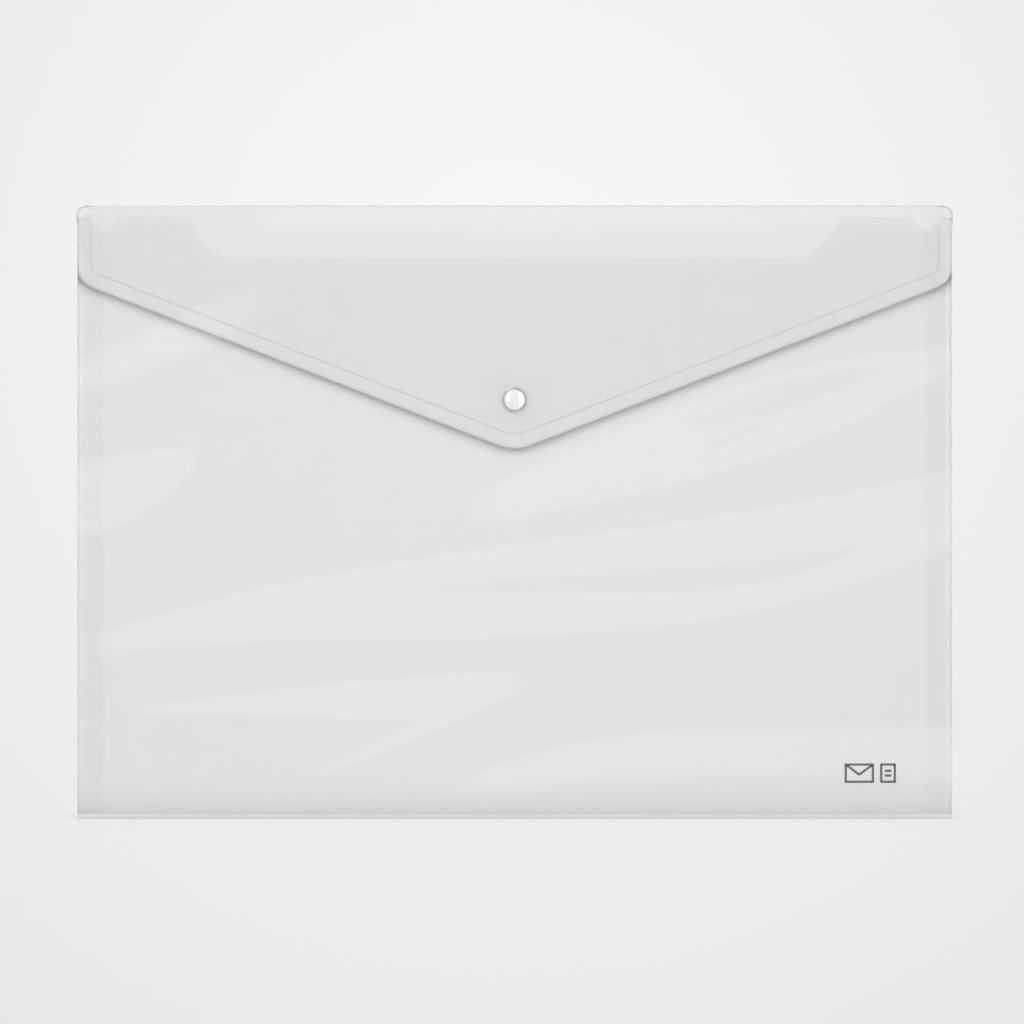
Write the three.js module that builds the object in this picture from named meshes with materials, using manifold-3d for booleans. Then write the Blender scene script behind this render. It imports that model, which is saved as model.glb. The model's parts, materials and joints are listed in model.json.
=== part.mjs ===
// A snap-button document wallet in translucent film, standing upright with its flap closed.
// Millimetres, +Z up, front towards -Y, origin at the middle of the bottom edge.
//
// The real wallet is one die-cut sheet. Here it is divided at its creases, so that every
// stretch of film which stays flat is a solid of its own, and the four snap pieces are added.

import * as THREE from 'three';
import { mergeVertices } from 'three/addons/utils/BufferGeometryUtils.js';
import Module from 'manifold-3d';

const wasm = await Module();
wasm.setup();

// Driving dimensions
const WIDTH = 335;
const HEIGHT = 235;
const FILM = 0.3;               // thickness of the sheet
const POCKET_DEPTH = 3.0;       // room for papers, between the back and front panels
const FLAP_GAP = 2.4;           // from the front panel to the flap, which the snap bridges
const CAP_HEIGHT = 1.5;         // how far the snap's outer cap stands off the flap
const SIDE_FOLD_WIDTH = 10;     // width of the tab folded forward at each side
const TOP_CORNER_RADIUS = 3.5;

// Flap
const FLAP_SIDE_Z = 205.8;      // where a side edge meets its diagonal edge, before rounding
const FLAP_APEX_Z = 140.8;      // where the two diagonal edges meet, before rounding
const FLAP_SIDE_RADIUS = 8.7;
const FLAP_APEX_RADIUS = 16;
const GROOVE_INSET = 5.2;       // the pressed line that runs along the flap's edge
const GROOVE_WIDTH = 0.7;
const GROOVE_DEPTH = 0.12;

// Front panel
const MOUTH_DROP = 4.6;         // the front panel's top edge below the wallet's top
const THUMB_HALF_WIDTH = 124.2;
const THUMB_SHOULDER = [120.7, 8.7, 10];       // half width, drop and radius where a side bends in
const THUMB_FLOOR = [111.5, 15.7, 3];          // the same where it meets the floor
const NOTCH_TOP_HALF = 5.3;     // V-shaped relief notches over the side folds' inner edges
const NOTCH_BOTTOM_HALF = 1.5;
const NOTCH_DEPTH = 5;

// Snap
const SNAP_Z = 160.4;
const CAP_RADIUS = 5.15;
const CAP_EDGE = 0.5;           // straight part of a cap's rim, below its dome
const INNER_CAP_HEIGHT = 1.2;
const RING_RADIUS = 4.25;       // the socket and the stud's flange
const POST_RADIUS = 0.8;
const HOLE_RADIUS = 1.1;
const SOCKET_DEPTH = 1.7;
const SOCKET_FLOOR = 0.3;
const SOCKET_CAVITY_RADIUS = 1.95;
const SOCKET_LIP_RADIUS = 1.75;
const STUD_FLANGE = 0.5;
const STUD_NECK_RADIUS = 1.35;
const STUD_BULB_RADIUS = 1.6;
const STUD_HEIGHT = 1.4;        // from the flange to the tip of the bulb

// Gaps that keep the divided sheet's solids apart
const SEAM_GAP = 0.1;           // between pieces that never move against each other
const CREASE_GAP = 0.35;        // from a crease that turns to the film on either side
const WELD_GAP = 0.05;          // between the front panel and the tab welded behind it

const ARC_STEPS = 16;
const LATHE_STEPS = 48;

// Faces, from the back of the wallet to the front
const DEPTH = POCKET_DEPTH + FLAP_GAP + CAP_HEIGHT + 3 * FILM;
const BACK_OUTER_Y = DEPTH / 2;
const BACK_INNER_Y = BACK_OUTER_Y - FILM;
const FRONT_INNER_Y = BACK_INNER_Y - POCKET_DEPTH;
const FRONT_OUTER_Y = FRONT_INNER_Y - FILM;
const FLAP_INNER_Y = FRONT_OUTER_Y - FLAP_GAP;
const FLAP_OUTER_Y = FLAP_INNER_Y - FILM;
const CREASE_Z = HEIGHT - FILM / 2;
const PANEL_TOP_Z = CREASE_Z - CREASE_GAP;
const BOTTOM_RADIUS = (BACK_OUTER_Y - FRONT_OUTER_Y) / 2;

const film = new THREE.MeshStandardMaterial({
  color: 0xe4e4e2, roughness: 0.35, metalness: 0, transparent: true, opacity: 0.55,
});
const snapPlastic = new THREE.MeshStandardMaterial({
  color: 0xd8d8d6, roughness: 0.25, metalness: 0, transparent: true, opacity: 0.85,
});

const group = new THREE.Group();

function addMesh(name, geometry, material) {
  const mesh = new THREE.Mesh(geometry, material.clone());
  mesh.name = name;
  group.add(mesh);
  return mesh;
}

/** A closed shape through corners [x, y, radius], with a tangent arc at each rounded corner. */
function roundedShape(corners) {
  const points = corners.map(([x, y]) => new THREE.Vector2(x, y));
  const shape = new THREE.Shape();
  corners.forEach(([x, y, radius = 0], index) => {
    if (radius === 0) {
      if (index === 0) shape.moveTo(x, y);
      else shape.lineTo(x, y);
      return;
    }
    const corner = points[index];
    const toBefore = points.at(index - 1).clone().sub(corner).normalize();
    const toAfter = points[(index + 1) % points.length].clone().sub(corner).normalize();
    const halfAngle = Math.acos(toBefore.dot(toAfter)) / 2;
    const reach = radius / Math.tan(halfAngle);
    const inward = toBefore.clone().add(toAfter).normalize();
    const centre = corner.clone().addScaledVector(inward, radius / Math.sin(halfAngle));
    const startAngle = corner.clone().addScaledVector(toBefore, reach).sub(centre).angle();
    const endAngle = corner.clone().addScaledVector(toAfter, reach).sub(centre).angle();
    const clockwise = toBefore.cross(toAfter) > 0;
    shape.absarc(centre.x, centre.y, radius, startAngle, endAngle, clockwise);
  });
  return shape;
}

function roundHole(x, y, radius) {
  return new THREE.Path().absarc(x, y, radius, 0, 2 * Math.PI, false);
}

/** Film in the X-Z plane: the shape's y becomes z, and the film runs from backY towards -Y. */
function uprightSheet(shape, backY, thickness = FILM) {
  const options = { depth: thickness, bevelEnabled: false, curveSegments: ARC_STEPS };
  return new THREE.ExtrudeGeometry(shape, options)
    .rotateX(Math.PI / 2)
    .translate(0, backY, 0);
}

function toSolid(geometry) {
  const bare = geometry.clone();
  bare.deleteAttribute('normal');
  bare.deleteAttribute('uv');
  const merged = mergeVertices(bare);
  return new wasm.Manifold(new wasm.Mesh({
    numProp: 3,
    vertProperties: new Float32Array(merged.attributes.position.array),
    triVerts: new Uint32Array(merged.index.array),
  }));
}

function toGeometry(solid) {
  const mesh = solid.getMesh();
  const geometry = new THREE.BufferGeometry();
  geometry.setAttribute('position', new THREE.BufferAttribute(mesh.vertProperties, 3));
  geometry.setIndex(new THREE.BufferAttribute(mesh.triVerts, 1));
  geometry.computeVertexNormals();
  return geometry;
}

/** A turned piece about the snap's front-to-back axis, from profile points [radius, y]. */
function turned(profile) {
  const points = profile.map(([radius, y]) => new THREE.Vector2(radius, y));
  return new THREE.LatheGeometry(points, LATHE_STEPS).translate(0, 0, SNAP_Z);
}

/** A cap's dome, from its axis to its rim, rising from rimY to crownY. */
function domeProfile(rimY, crownY, steps = 10) {
  const profile = [];
  for (let step = 0; step <= steps; step += 1) {
    const angle = (step / steps) * (Math.PI / 2);
    profile.push([CAP_RADIUS * Math.sin(angle), rimY + (crownY - rimY) * Math.cos(angle)]);
  }
  return profile;
}

// Pocket

function backPanel() {
  const halfWidth = WIDTH / 2 - (BACK_OUTER_Y - FRONT_INNER_Y + WELD_GAP) / 2 - SEAM_GAP;
  const shape = roundedShape([
    [-halfWidth, BOTTOM_RADIUS + SEAM_GAP],
    [halfWidth, BOTTOM_RADIUS + SEAM_GAP],
    [halfWidth, PANEL_TOP_Z, TOP_CORNER_RADIUS / 2],
    [-halfWidth, PANEL_TOP_Z, TOP_CORNER_RADIUS / 2],
  ]);
  addMesh('back_panel', uprightSheet(shape, BACK_OUTER_Y), film);
}

/** The film turned forward round a side of the pocket, ending in the tab behind the front. */
function sideFold(name, side) {
  const tabOuterY = FRONT_INNER_Y + WELD_GAP;
  const outerRadius = (BACK_OUTER_Y - tabOuterY) / 2;
  const innerRadius = outerRadius - FILM;
  const bendX = side * (WIDTH / 2 - outerRadius);
  const bendY = (BACK_OUTER_Y + tabOuterY) / 2;
  const tabX = side * (WIDTH / 2 - SIDE_FOLD_WIDTH);
  const section = new THREE.Shape();
  section.absarc(bendX, bendY, outerRadius, Math.PI / 2, -Math.PI / 2, side > 0);
  section.lineTo(tabX, tabOuterY);
  section.lineTo(tabX, tabOuterY + FILM);
  section.absarc(bendX, bendY, innerRadius, -Math.PI / 2, Math.PI / 2, side < 0);
  const bottomZ = 2 * BOTTOM_RADIUS;
  const height = PANEL_TOP_Z - TOP_CORNER_RADIUS / 2 - bottomZ;
  const options = { depth: height, bevelEnabled: false, curveSegments: ARC_STEPS };
  const geometry = new THREE.ExtrudeGeometry(section, options).translate(0, 0, bottomZ);
  addMesh(name, geometry, film);
}

function bottomFold() {
  const centreY = (BACK_OUTER_Y + FRONT_OUTER_Y) / 2;
  const section = new THREE.Shape();
  section.absarc(centreY, BOTTOM_RADIUS, BOTTOM_RADIUS, Math.PI, 2 * Math.PI, false);
  section.absarc(centreY, BOTTOM_RADIUS, BOTTOM_RADIUS - FILM, 0, -Math.PI, true);
  const alongX = new THREE.Matrix4().makeBasis(
    new THREE.Vector3(0, 1, 0),
    new THREE.Vector3(0, 0, 1),
    new THREE.Vector3(1, 0, 0),
  );
  const options = { depth: WIDTH, bevelEnabled: false, curveSegments: ARC_STEPS };
  const geometry = new THREE.ExtrudeGeometry(section, options)
    .applyMatrix4(alongX)
    .translate(-WIDTH / 2, 0, 0);
  addMesh('bottom_fold', geometry, film);
}

/** The front panel, with its thumb cut-out and a relief notch over each side fold's edge. */
function frontPanel() {
  const halfWidth = WIDTH / 2;
  const bottomZ = BOTTOM_RADIUS + CREASE_GAP;
  const mouthZ = HEIGHT - MOUTH_DROP;
  const notchX = halfWidth - SIDE_FOLD_WIDTH;
  const notchZ = mouthZ - NOTCH_DEPTH;
  const [shoulderX, shoulderDrop, shoulderRadius] = THUMB_SHOULDER;
  const [floorX, floorDrop, floorRadius] = THUMB_FLOOR;
  const rightEdge = [
    [halfWidth, bottomZ],
    [halfWidth, mouthZ, 1],
    [notchX + NOTCH_TOP_HALF, mouthZ],
    [notchX + NOTCH_BOTTOM_HALF, notchZ],
    [notchX - NOTCH_BOTTOM_HALF, notchZ],
    [notchX - NOTCH_TOP_HALF, mouthZ],
    [THUMB_HALF_WIDTH, mouthZ],
    [shoulderX, mouthZ - shoulderDrop, shoulderRadius],
    [floorX, mouthZ - floorDrop, floorRadius],
  ];
  const leftEdge = rightEdge.map(([x, z, radius]) => [-x, z, radius]).reverse();
  const shape = roundedShape([...rightEdge, ...leftEdge]);
  shape.holes.push(roundHole(0, SNAP_Z, HOLE_RADIUS));
  addMesh('front_panel', uprightSheet(shape, FRONT_INNER_Y), film);
}

// Flap

/** The strip across the top, between the back panel's crease and the flap's crease. */
function topSpine() {
  const backY = BACK_INNER_Y + FILM / 2 - CREASE_GAP;
  const frontY = FLAP_INNER_Y - FILM / 2 + CREASE_GAP;
  const geometry = new THREE.BoxGeometry(WIDTH - 2 * TOP_CORNER_RADIUS, backY - frontY, FILM)
    .translate(0, (backY + frontY) / 2, CREASE_Z);
  addMesh('top_spine', geometry, film);
}

/** The flap's outline moved inward by inset; its top edge is at topZ. */
function flapShape(inset, topZ, topRadius) {
  const slope = (FLAP_SIDE_Z - FLAP_APEX_Z) / (WIDTH / 2);
  const sideX = WIDTH / 2 - inset;
  const apexZ = FLAP_APEX_Z + inset * Math.hypot(1, slope);
  const sideZ = apexZ + slope * sideX;
  return roundedShape([
    [0, apexZ, FLAP_APEX_RADIUS - inset],
    [sideX, sideZ, FLAP_SIDE_RADIUS - inset],
    [sideX, topZ, topRadius],
    [-sideX, topZ, topRadius],
    [-sideX, sideZ, FLAP_SIDE_RADIUS - inset],
  ]);
}

/** The flap, with a line pressed into its outer face that follows the edge up to the crease. */
function flap() {
  const outline = flapShape(0, PANEL_TOP_Z, TOP_CORNER_RADIUS);
  outline.holes.push(roundHole(0, SNAP_Z, HOLE_RADIUS));
  const cutBackY = FLAP_OUTER_Y + GROOVE_DEPTH;
  const cutDepth = 2 * GROOVE_DEPTH;
  const wide = toSolid(uprightSheet(flapShape(GROOVE_INSET, HEIGHT), cutBackY, cutDepth));
  const narrowShape = flapShape(GROOVE_INSET + GROOVE_WIDTH, HEIGHT + 1);
  const narrow = toSolid(uprightSheet(narrowShape, cutBackY + 1, cutDepth + 2));
  const groove = wide.subtract(narrow);
  const sheet = toSolid(uprightSheet(outline, FLAP_INNER_Y));
  addMesh('flap', toGeometry(sheet.subtract(groove)), film);
}

// Snap

/** The visible cap on the flap, with a post through the film. */
function snapCap() {
  const postEndY = FLAP_INNER_Y + SOCKET_FLOOR / 2;
  addMesh('snap_cap', turned([
    ...domeProfile(FLAP_OUTER_Y - CAP_EDGE, FLAP_OUTER_Y - CAP_HEIGHT),
    [CAP_RADIUS, FLAP_OUTER_Y],
    [POST_RADIUS, FLAP_OUTER_Y],
    [POST_RADIUS, postEndY],
    [0, postEndY],
  ]), snapPlastic);
}

/** The ring behind the flap, with a lip that narrows the mouth of its cavity. */
function snapSocket() {
  const mouthY = FLAP_INNER_Y + SOCKET_DEPTH;
  const floorY = FLAP_INNER_Y + SOCKET_FLOOR;
  const lipHeight = 0.35;
  const bevel = 0.6;
  addMesh('snap_socket', turned([
    [HOLE_RADIUS, FLAP_INNER_Y],
    [RING_RADIUS, FLAP_INNER_Y],
    [RING_RADIUS, mouthY - bevel],
    [RING_RADIUS - bevel, mouthY],
    [SOCKET_LIP_RADIUS, mouthY],
    [SOCKET_LIP_RADIUS, mouthY - lipHeight],
    [SOCKET_CAVITY_RADIUS, mouthY - lipHeight - (SOCKET_CAVITY_RADIUS - SOCKET_LIP_RADIUS)],
    [SOCKET_CAVITY_RADIUS, floorY],
    [HOLE_RADIUS, floorY],
    [HOLE_RADIUS, FLAP_INNER_Y],
  ]), snapPlastic);
}

/** The stud on the front panel: a flange, and a necked bulb that sits in the socket. */
function snapStud() {
  const flangeY = FRONT_OUTER_Y - STUD_FLANGE;
  const tipY = flangeY - STUD_HEIGHT;
  const boreEndY = FRONT_OUTER_Y - FILM;
  addMesh('snap_stud', turned([
    [0, tipY],
    [STUD_NECK_RADIUS, tipY],
    [STUD_BULB_RADIUS, tipY + 0.3],
    [STUD_BULB_RADIUS, tipY + 0.6],
    [STUD_NECK_RADIUS, tipY + 0.85],
    [STUD_NECK_RADIUS, flangeY],
    [RING_RADIUS, flangeY],
    [RING_RADIUS, FRONT_OUTER_Y],
    [HOLE_RADIUS, FRONT_OUTER_Y],
    [HOLE_RADIUS, boreEndY],
    [0, boreEndY],
  ]), snapPlastic);
}

/** The cap inside the pocket, with a post through the front panel into the stud. */
function snapStudCap() {
  const postEndY = FRONT_OUTER_Y - FILM / 2;
  addMesh('snap_stud_cap', turned([
    [0, postEndY],
    [POST_RADIUS, postEndY],
    [POST_RADIUS, FRONT_INNER_Y],
    [CAP_RADIUS, FRONT_INNER_Y],
    ...domeProfile(FRONT_INNER_Y + CAP_EDGE, FRONT_INNER_Y + INNER_CAP_HEIGHT).reverse(),
  ]), snapPlastic);
}

backPanel();
sideFold('left_side_fold', -1);
sideFold('right_side_fold', 1);
bottomFold();
frontPanel();
topSpine();
flap();
snapCap();
snapSocket();
snapStud();
snapStudCap();

export default group;
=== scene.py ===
"""Looks for a snap-button document wallet in translucent film.

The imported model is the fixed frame. Its plain film panels are replaced here by fine sheets
with the pressed lines, soft ripples and rounded folds of the real wallet, and its snap by
finer turned pieces. Metres, +Z up, front towards -Y, as in the frame.
"""

import json
import math
from collections import namedtuple

import bmesh
import bpy
import numpy as np
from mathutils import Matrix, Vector
from mathutils.geometry import delaunay_2d_cdt


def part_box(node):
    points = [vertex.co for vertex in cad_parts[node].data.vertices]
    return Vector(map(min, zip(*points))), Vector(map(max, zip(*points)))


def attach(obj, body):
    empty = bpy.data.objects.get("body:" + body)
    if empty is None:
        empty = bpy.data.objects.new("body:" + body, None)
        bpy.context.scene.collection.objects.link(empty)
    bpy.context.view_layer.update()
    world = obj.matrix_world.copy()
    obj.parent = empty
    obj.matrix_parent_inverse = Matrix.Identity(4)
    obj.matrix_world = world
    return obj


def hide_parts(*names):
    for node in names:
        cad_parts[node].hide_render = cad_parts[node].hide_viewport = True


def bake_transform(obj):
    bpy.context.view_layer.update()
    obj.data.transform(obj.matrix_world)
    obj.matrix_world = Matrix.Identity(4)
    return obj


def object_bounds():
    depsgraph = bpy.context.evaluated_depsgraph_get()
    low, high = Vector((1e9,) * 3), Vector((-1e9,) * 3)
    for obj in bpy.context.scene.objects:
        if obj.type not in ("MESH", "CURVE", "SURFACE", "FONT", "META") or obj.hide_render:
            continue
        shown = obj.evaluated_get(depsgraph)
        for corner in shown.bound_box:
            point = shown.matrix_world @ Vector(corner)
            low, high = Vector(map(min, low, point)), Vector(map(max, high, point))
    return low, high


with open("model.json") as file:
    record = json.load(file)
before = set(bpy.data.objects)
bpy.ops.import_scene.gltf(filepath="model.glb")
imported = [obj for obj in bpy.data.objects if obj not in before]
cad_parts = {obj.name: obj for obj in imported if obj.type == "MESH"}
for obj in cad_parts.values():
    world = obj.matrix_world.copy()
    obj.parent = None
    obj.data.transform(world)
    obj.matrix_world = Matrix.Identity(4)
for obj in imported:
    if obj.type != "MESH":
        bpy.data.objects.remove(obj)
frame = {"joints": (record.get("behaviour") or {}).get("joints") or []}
CAD_LOW, CAD_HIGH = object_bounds()

MM = 0.001

# From the frame
JOINTS = {joint["name"]: joint for joint in frame["joints"]}
BACK_PIVOT = Vector(JOINTS["back_crease"]["pos_m"])
FLAP_PIVOT = Vector(JOINTS["flap_crease"]["pos_m"])
BACK_LOW, BACK_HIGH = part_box("back_panel")
FRONT_LOW, FRONT_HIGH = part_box("front_panel")
FLAP_LOW, FLAP_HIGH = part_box("flap")
CAP_LOW, CAP_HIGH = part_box("snap_cap")
SOCKET_LOW, SOCKET_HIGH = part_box("snap_socket")
STUD_LOW, STUD_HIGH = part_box("snap_stud")
STUD_CAP_LOW, STUD_CAP_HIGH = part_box("snap_stud_cap")
TAB_LOW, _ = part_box("right_side_fold")
HALF_WIDTH = CAD_HIGH.x
HEIGHT = CAD_HIGH.z
FILM = BACK_HIGH.y - BACK_LOW.y
BACK_Y = BACK_PIVOT.y                            # the middle of the film, in each panel
FRONT_Y = (FRONT_LOW.y + FRONT_HIGH.y) / 2
FLAP_Y = FLAP_PIVOT.y
TAB_Y = TAB_LOW.y + FILM / 2
PANEL_TOP = FLAP_HIGH.z
MOUTH_Z = FRONT_HIGH.z
SNAP = Vector((0, 0, (CAP_LOW.z + CAP_HIGH.z) / 2))
CREASE_REACH = FLAP_PIVOT.z - PANEL_TOP          # from a crease's axis to the flat film

# Sheet details
SPACING = 3 * MM                # between points on a sheet
FRONT_SPACING = (2 * MM, 1.2 * MM)      # between columns and rows on the front, for its folds
ARC_STEPS = 14
TOP_RADIUS = 3.5 * MM
INK_THICKNESS = 0.03 * MM
FLAP_SIDE_DROP = 29.2 * MM      # from the top to where a side meets its diagonal
FLAP_APEX_DROP = 94.2 * MM      # from the top to where the diagonals meet
FLAP_SIDE_RADIUS = 8.7 * MM
FLAP_APEX_RADIUS = 16 * MM
GROOVE_INSET = 5.4 * MM         # middle of the pressed line along the flap's edge
GROOVE_HALF = 0.9 * MM
GROOVE_DEPTH = 0.05 * MM
GROOVE_TOP = 228.5 * MM         # height at which the pressed line fades out
GROOVE_SHADE = 0.25             # painted shade in the pressed line, on top of its small real dip, and
BANK_GLEAM = 0.06               # painted highlight on the film on both sides of it
LIP_WIDTH = 0.9 * MM            # the flap's outermost film turns down towards the front
LIP_DROP = 0.3 * MM
LIP_GLEAM = 0.7                 # how much brighter it looks: a painted highlight
CORNER_SHADE = 0.6              # how much darker the edge of the rounded top corners looks: painted shade
TAB_EDGE = TAB_LOW.x            # inner edge of the right-hand side fold
FOLD_TOP_GAP = 0.8 * MM         # the side folds stop this far short of the creases
FOLD_OVERLAP = 1.2 * MM         # and reach this far below the CAD's, to meet the bottom fold
BEND_WIDTH = 2.4 * MM           # of the part of a side fold that bends round to the back
WELD_SHADE = 0.025              # how much darker the front looks over a side fold,
BEND_SHADE = 0.16               # and painted shade added over its bend, where it curves away

# The right half of the mouth, from the relief notch over the side fold's edge to the thumb
# cut-out's floor: x, drop below the front panel's top and radius
MOUTH_CORNERS = (
    (TAB_EDGE + 5.3 * MM, 0, 1 * MM),
    (TAB_EDGE + 1.5 * MM, 5 * MM, 0.6 * MM),
    (TAB_EDGE - 1.5 * MM, 5 * MM, 0.6 * MM),
    (TAB_EDGE - 5.3 * MM, 0, 1 * MM),
    (124.2 * MM, 0, 1.2 * MM),
    (120.7 * MM, 8.7 * MM, 10 * MM),
    (111.5 * MM, 15.7 * MM, 3 * MM),
)
HOLE_RADIUS = 1.1 * MM
DOME_RADIUS = 10.5 * MM         # of the snap cap's clear middle
DOME_EDGE = 3.85 * MM           # where the middle meets the bevel round it

# Colours, in linear light
FILM_TONE = (0.81, 0.809, 0.794)
# the bends at the top are a lighter copy of the film: painted highlight where they curve into the light
BEND_TONE = (0.95, 0.95, 0.94)
# the cut edges are a lighter copy of the film: painted highlight on them
EDGE_TONE = (0.86, 0.86, 0.85)
SNAP_TONE = (0.95, 0.95, 0.94)
INK_TONE = (0.12, 0.12, 0.125)
NOISE_SPAN = (0.3, 0.7)         # nearly all of a noise texture's values lie between these
PLASTIC_IOR = 1.5               # how strongly film and snap bend the light that enters them
CLOUD_SCALE = 22                # soft clouds in the film, to a metre,
CLOUD_HAZE = (0.97, 1.01)       # and how hazy it is in the clearest and the haziest of them
GRAIN_SCALE = 3500              # frosting grains, to a metre,
GRAIN_HAZE = 0.02               # how much haze they add,
GRAIN_BUMP = 0.01 * MM          # and their height
FILM_ROUGHNESS = 0.18
MIRROR_AHEAD = 0.05             # share of the light that the film mirrors square on,
MIRROR_ASLANT = 0.6             # and how much more at a grazing angle
EDGE_REACH = 6 * MM             # from the flap's edge, over which a painted shadow darkens the front film
EDGE_GAIN = 0.95                # the shade's strength,
EDGE_OFFSET = 0.08              # less this much, which leaves open places plain
EDGE_OPEN = (0.5, 0.56)         # share of open sky below which a place is under the flap
EDGE_THICKENS = 1.4             # how much more opaque the shade makes the film,
EDGE_DARKENS = 1.2              # and how much darker
INK_SPECKLE_SCALE = 1800        # unevenness of the print, to a metre
SNAP_FLOW_SCALE = 420           # swirls in the snap's plastic, to a metre
SNAP_SWIRL = 0.16
SNAP_ALPHA = 0.94
BEVEL_LEVEL = 0.5               # brightness of the painted shade on the snap's bevel beside its middle
RIM_LEVEL = 0.75                # and at its rim
TOP_GLEAM = 0.17                # painted highlight: how much brighter the back looks in a band below the top
TOP_GLEAM_Z = HEIGHT - 9.5 * MM
TOP_GLEAM_X = -98 * MM          # the band's left-hand end
TOP_GLEAM_BLUR = 3 * MM         # width over which its lower edge softens,
TOP_GLEAM_FADE = 25 * MM        # and over which its end fades out


# Outlines: lists of corners (x, z, radius), counter-clockwise seen from the front


def moved_corners(corners, inset):
    """The corners of the outline moved inward by inset, with their radii changed to suit."""
    moved = []
    for index, (x, z, radius) in enumerate(corners):
        corner = Vector((x, z))
        following = Vector(corners[(index + 1) % len(corners)][:2])
        coming = (corner - Vector(corners[index - 1][:2])).normalized()
        going = (following - corner).normalized()
        normals = Vector((-coming.y, coming.x)), Vector((-going.y, going.x))
        shift = (normals[0] + normals[1]) * (inset / (1 + normals[0].dot(normals[1])))
        outward = coming.x * going.y - coming.y * going.x > 0
        if radius > 0:
            radius = max(radius - inset if outward else radius + inset, 0.02 * MM)
        moved.append((x + shift.x, z + shift.y, radius))
    return moved


def corner_points(before, corner, after, radius):
    """Points along the arc that rounds a corner, or the corner alone if it is sharp."""
    if radius == 0:
        return [corner]
    to_before = (before - corner).normalized()
    to_after = (after - corner).normalized()
    half_angle = math.acos(max(-1, min(1, to_before.dot(to_after)))) / 2
    centre = corner + (to_before + to_after).normalized() * (radius / math.sin(half_angle))
    start = corner + to_before * (radius / math.tan(half_angle)) - centre
    turn = math.pi - 2 * half_angle
    if to_before.x * to_after.y - to_before.y * to_after.x > 0:
        turn = -turn
    points = []
    for step in range(ARC_STEPS + 1):
        angle = turn * step / ARC_STEPS
        cos, sin = math.cos(angle), math.sin(angle)
        points.append(centre + Vector((start.x * cos - start.y * sin, start.x * sin + start.y * cos)))
    return points


def straight_counts(corners):
    """How many steps each straight stretch is divided into, from each corner to the next."""
    counts = []
    for index, (x, z, _) in enumerate(corners):
        next_x, next_z, _ = corners[(index + 1) % len(corners)]
        counts.append(max(1, round(math.hypot(next_x - x, next_z - z) / SPACING)))
    return counts


def outline_points(corners, counts):
    """The outline as points, with its corners rounded and its straights divided."""
    places = [Vector(corner[:2]) for corner in corners]
    runs = []
    for index, place in enumerate(places):
        following = places[(index + 1) % len(places)]
        runs.append(corner_points(places[index - 1], place, following, corners[index][2]))
    points = []
    for index, run in enumerate(runs):
        points += run
        start, end = run[-1], runs[(index + 1) % len(runs)][0]
        points += [start.lerp(end, step / counts[index]) for step in range(1, counts[index])]
    return points


def inside(points, loop):
    """Which of the points (an N x 2 array) lie inside a closed loop."""
    odd = np.zeros(len(points), bool)
    px, pz = points[:, 0], points[:, 1]
    for (ax, az), (bx, bz) in zip(loop, np.roll(loop, -1, axis=0)):
        if az == bz:
            continue
        crosses = (az > pz) != (bz > pz)
        odd ^= crosses & (px < ax + (pz - az) / (bz - az) * (bx - ax))
    return odd


def distance_to(loop, points):
    """How far each of the points (an N x 2 array) is from the nearest edge of a closed loop."""
    nearest = np.full(len(points), np.inf)
    for start, end in zip(loop, np.roll(loop, -1, axis=0)):
        along = end - start
        share = np.clip((points - start) @ along / (along @ along), 0, 1)
        apart = points - start - share[:, None] * along
        nearest = np.minimum(nearest, np.hypot(apart[:, 0], apart[:, 1]))
    return nearest


def filled(loop, holes, spacing):
    """Triangles that fill a loop round its holes, over a regular grid of points."""
    loop = np.array([tuple(point) for point in loop])
    low, high = loop.min(axis=0), loop.max(axis=0)
    steps = np.ceil((high - low) / spacing).astype(int)
    xs = np.linspace(low[0], high[0], steps[0] + 1)
    zs = np.linspace(low[1], high[1], steps[1] + 1)
    grid = np.array(np.meshgrid(xs, zs)).reshape(2, -1).T
    grid = grid[inside(grid, loop)]
    clearance = 0.4 * min(spacing)
    grid = grid[distance_to(loop, grid) > clearance]
    circles = []
    for x, z, radius in holes:
        grid = grid[np.hypot(grid[:, 0] - x, grid[:, 1] - z) > radius + clearance]
        angles = np.linspace(0, 2 * math.pi, 24, endpoint=False)
        circles.append(np.stack([x + radius * np.cos(angles), z + radius * np.sin(angles)], axis=1))
    points, edges = [], []
    for ring in [loop, *circles]:
        first = len(points)
        points += [Vector(point) for point in ring]
        edges += [(first + i, first + (i + 1) % len(ring)) for i in range(len(ring))]
    points += [Vector(point) for point in grid]
    placed, _, faces, _, _, _ = delaunay_2d_cdt(points, edges, [], 0, 1e-9)
    placed = np.array([tuple(point) for point in placed])
    middles = np.array([placed[list(face)].mean(axis=0) for face in faces])
    kept = inside(middles, loop)
    for circle in circles:
        kept &= ~inside(middles, circle)
    return placed, [face for face, keep in zip(faces, kept) if keep]


# Meshes


def smooth_step(value):
    """0 below 0, 1 above 1 and an even curve between them."""
    value = np.clip(value, 0, 1)
    return value * value * (3 - 2 * value)


def new_piece(name, vertices, faces, materials, sheen=None):
    """A smooth-shaded object in the row frame, with its faces turned consistently.

    sheen holds each vertex's painted highlight, or painted shade where it is negative, for the film's
    material."""
    mesh = bpy.data.meshes.new(name)
    mesh.from_pydata([tuple(map(float, vertex)) for vertex in vertices], [], faces)
    if sheen is not None:
        mesh.attributes.new("sheen", "FLOAT", "POINT").data.foreach_set("value", sheen)
    shape = bmesh.new()
    shape.from_mesh(mesh)
    bmesh.ops.remove_doubles(shape, verts=shape.verts, dist=1e-7)
    bmesh.ops.recalc_face_normals(shape, faces=shape.faces)
    shape.to_mesh(mesh)
    shape.free()
    mesh.shade_smooth()
    for material in materials:
        mesh.materials.append(material)
    piece = bpy.data.objects.new(name, mesh)
    bpy.context.scene.collection.objects.link(piece)
    return piece


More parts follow.
